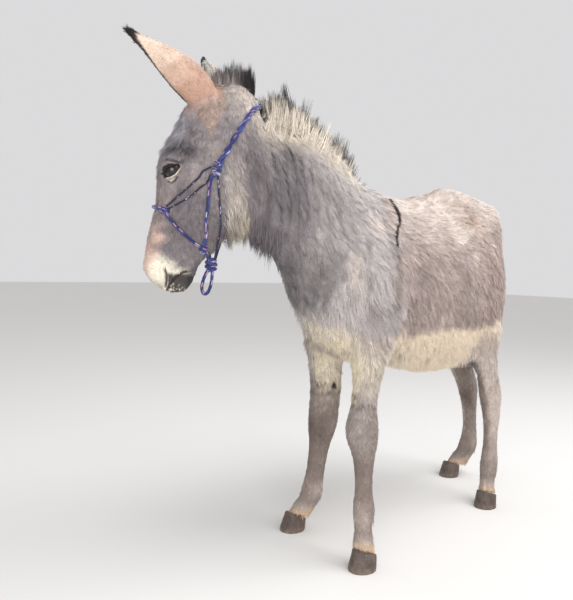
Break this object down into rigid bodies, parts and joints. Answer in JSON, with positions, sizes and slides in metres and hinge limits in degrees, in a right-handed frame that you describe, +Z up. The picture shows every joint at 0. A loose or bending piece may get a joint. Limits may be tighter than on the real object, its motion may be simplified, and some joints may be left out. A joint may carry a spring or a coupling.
{
  "type": "donkey",
  "caption": "Life-size standing grey donkey with upright ears, thick winter coat, striped shoulder, brush mane and a knotted rope halter without a lead.",
  "frame": {"origin": "on the floor, under the middle of the donkey's bounding box", "axes": "+Z up; the donkey's body faces -Y and its left side is toward +X; its head is turned to its right"},
  "size_m": [0.4578, 1.499, 1.3214],
  "materials": {
    "body_coat": "soft matt fur",
    "ear_coat": "short matt fur",
    "long_hair": "coarse matt hair",
    "hoof": "dull dusty horn",
    "eye": "wet gloss",
    "halter_rope": "braided cord",
    "halter_cord": "braided cord"
  },
  "bodies": {
    "root": {"halter_chin_knot": "halter_rope", "halter_crown": "halter_rope", "halter_noseband": "halter_rope", "halter_lead_loop": "halter_rope", "halter_upper_knot_left": "halter_rope", "halter_upper_knot_right": "halter_rope", "halter_nose_knot_left": "halter_rope", "halter_nose_knot_right": "halter_rope", "halter_side_knot_left": "halter_rope", "halter_side_knot_right": "halter_rope", "halter_jaw_rope_left": "halter_rope", "halter_jaw_rope_right": "halter_rope", "halter_throat_cord_left": "halter_cord", "halter_throat_cord_right": "halter_cord", "halter_cheek_rope_left": "halter_rope", "halter_cheek_rope_right": "halter_rope", "halter_chin_rope_left": "halter_rope", "halter_chin_rope_right": "halter_rope", "halter_nose_cord_upper_left": "halter_cord", "halter_nose_cord_upper_right": "halter_cord", "halter_nose_cord_lower_left": "halter_cord", "halter_nose_cord_lower_right": "halter_cord", "eye_left": "eye", "ear_left": "ear_coat", "foreleg_left": "body_coat", "fore_hoof_left": "hoof", "hindleg_left": "body_coat", "hind_hoof_left": "hoof", "eye_right": "eye", "ear_right": "ear_coat", "foreleg_right": "body_coat", "fore_hoof_right": "hoof", "hindleg_right": "body_coat", "hind_hoof_right": "hoof", "head": "body_coat", "neck": "body_coat", "trunk": "body_coat", "tail": "body_coat", "forelock": "long_hair", "mane": "long_hair", "tail_tuft": "long_hair"}
  },
  "joints": []
}
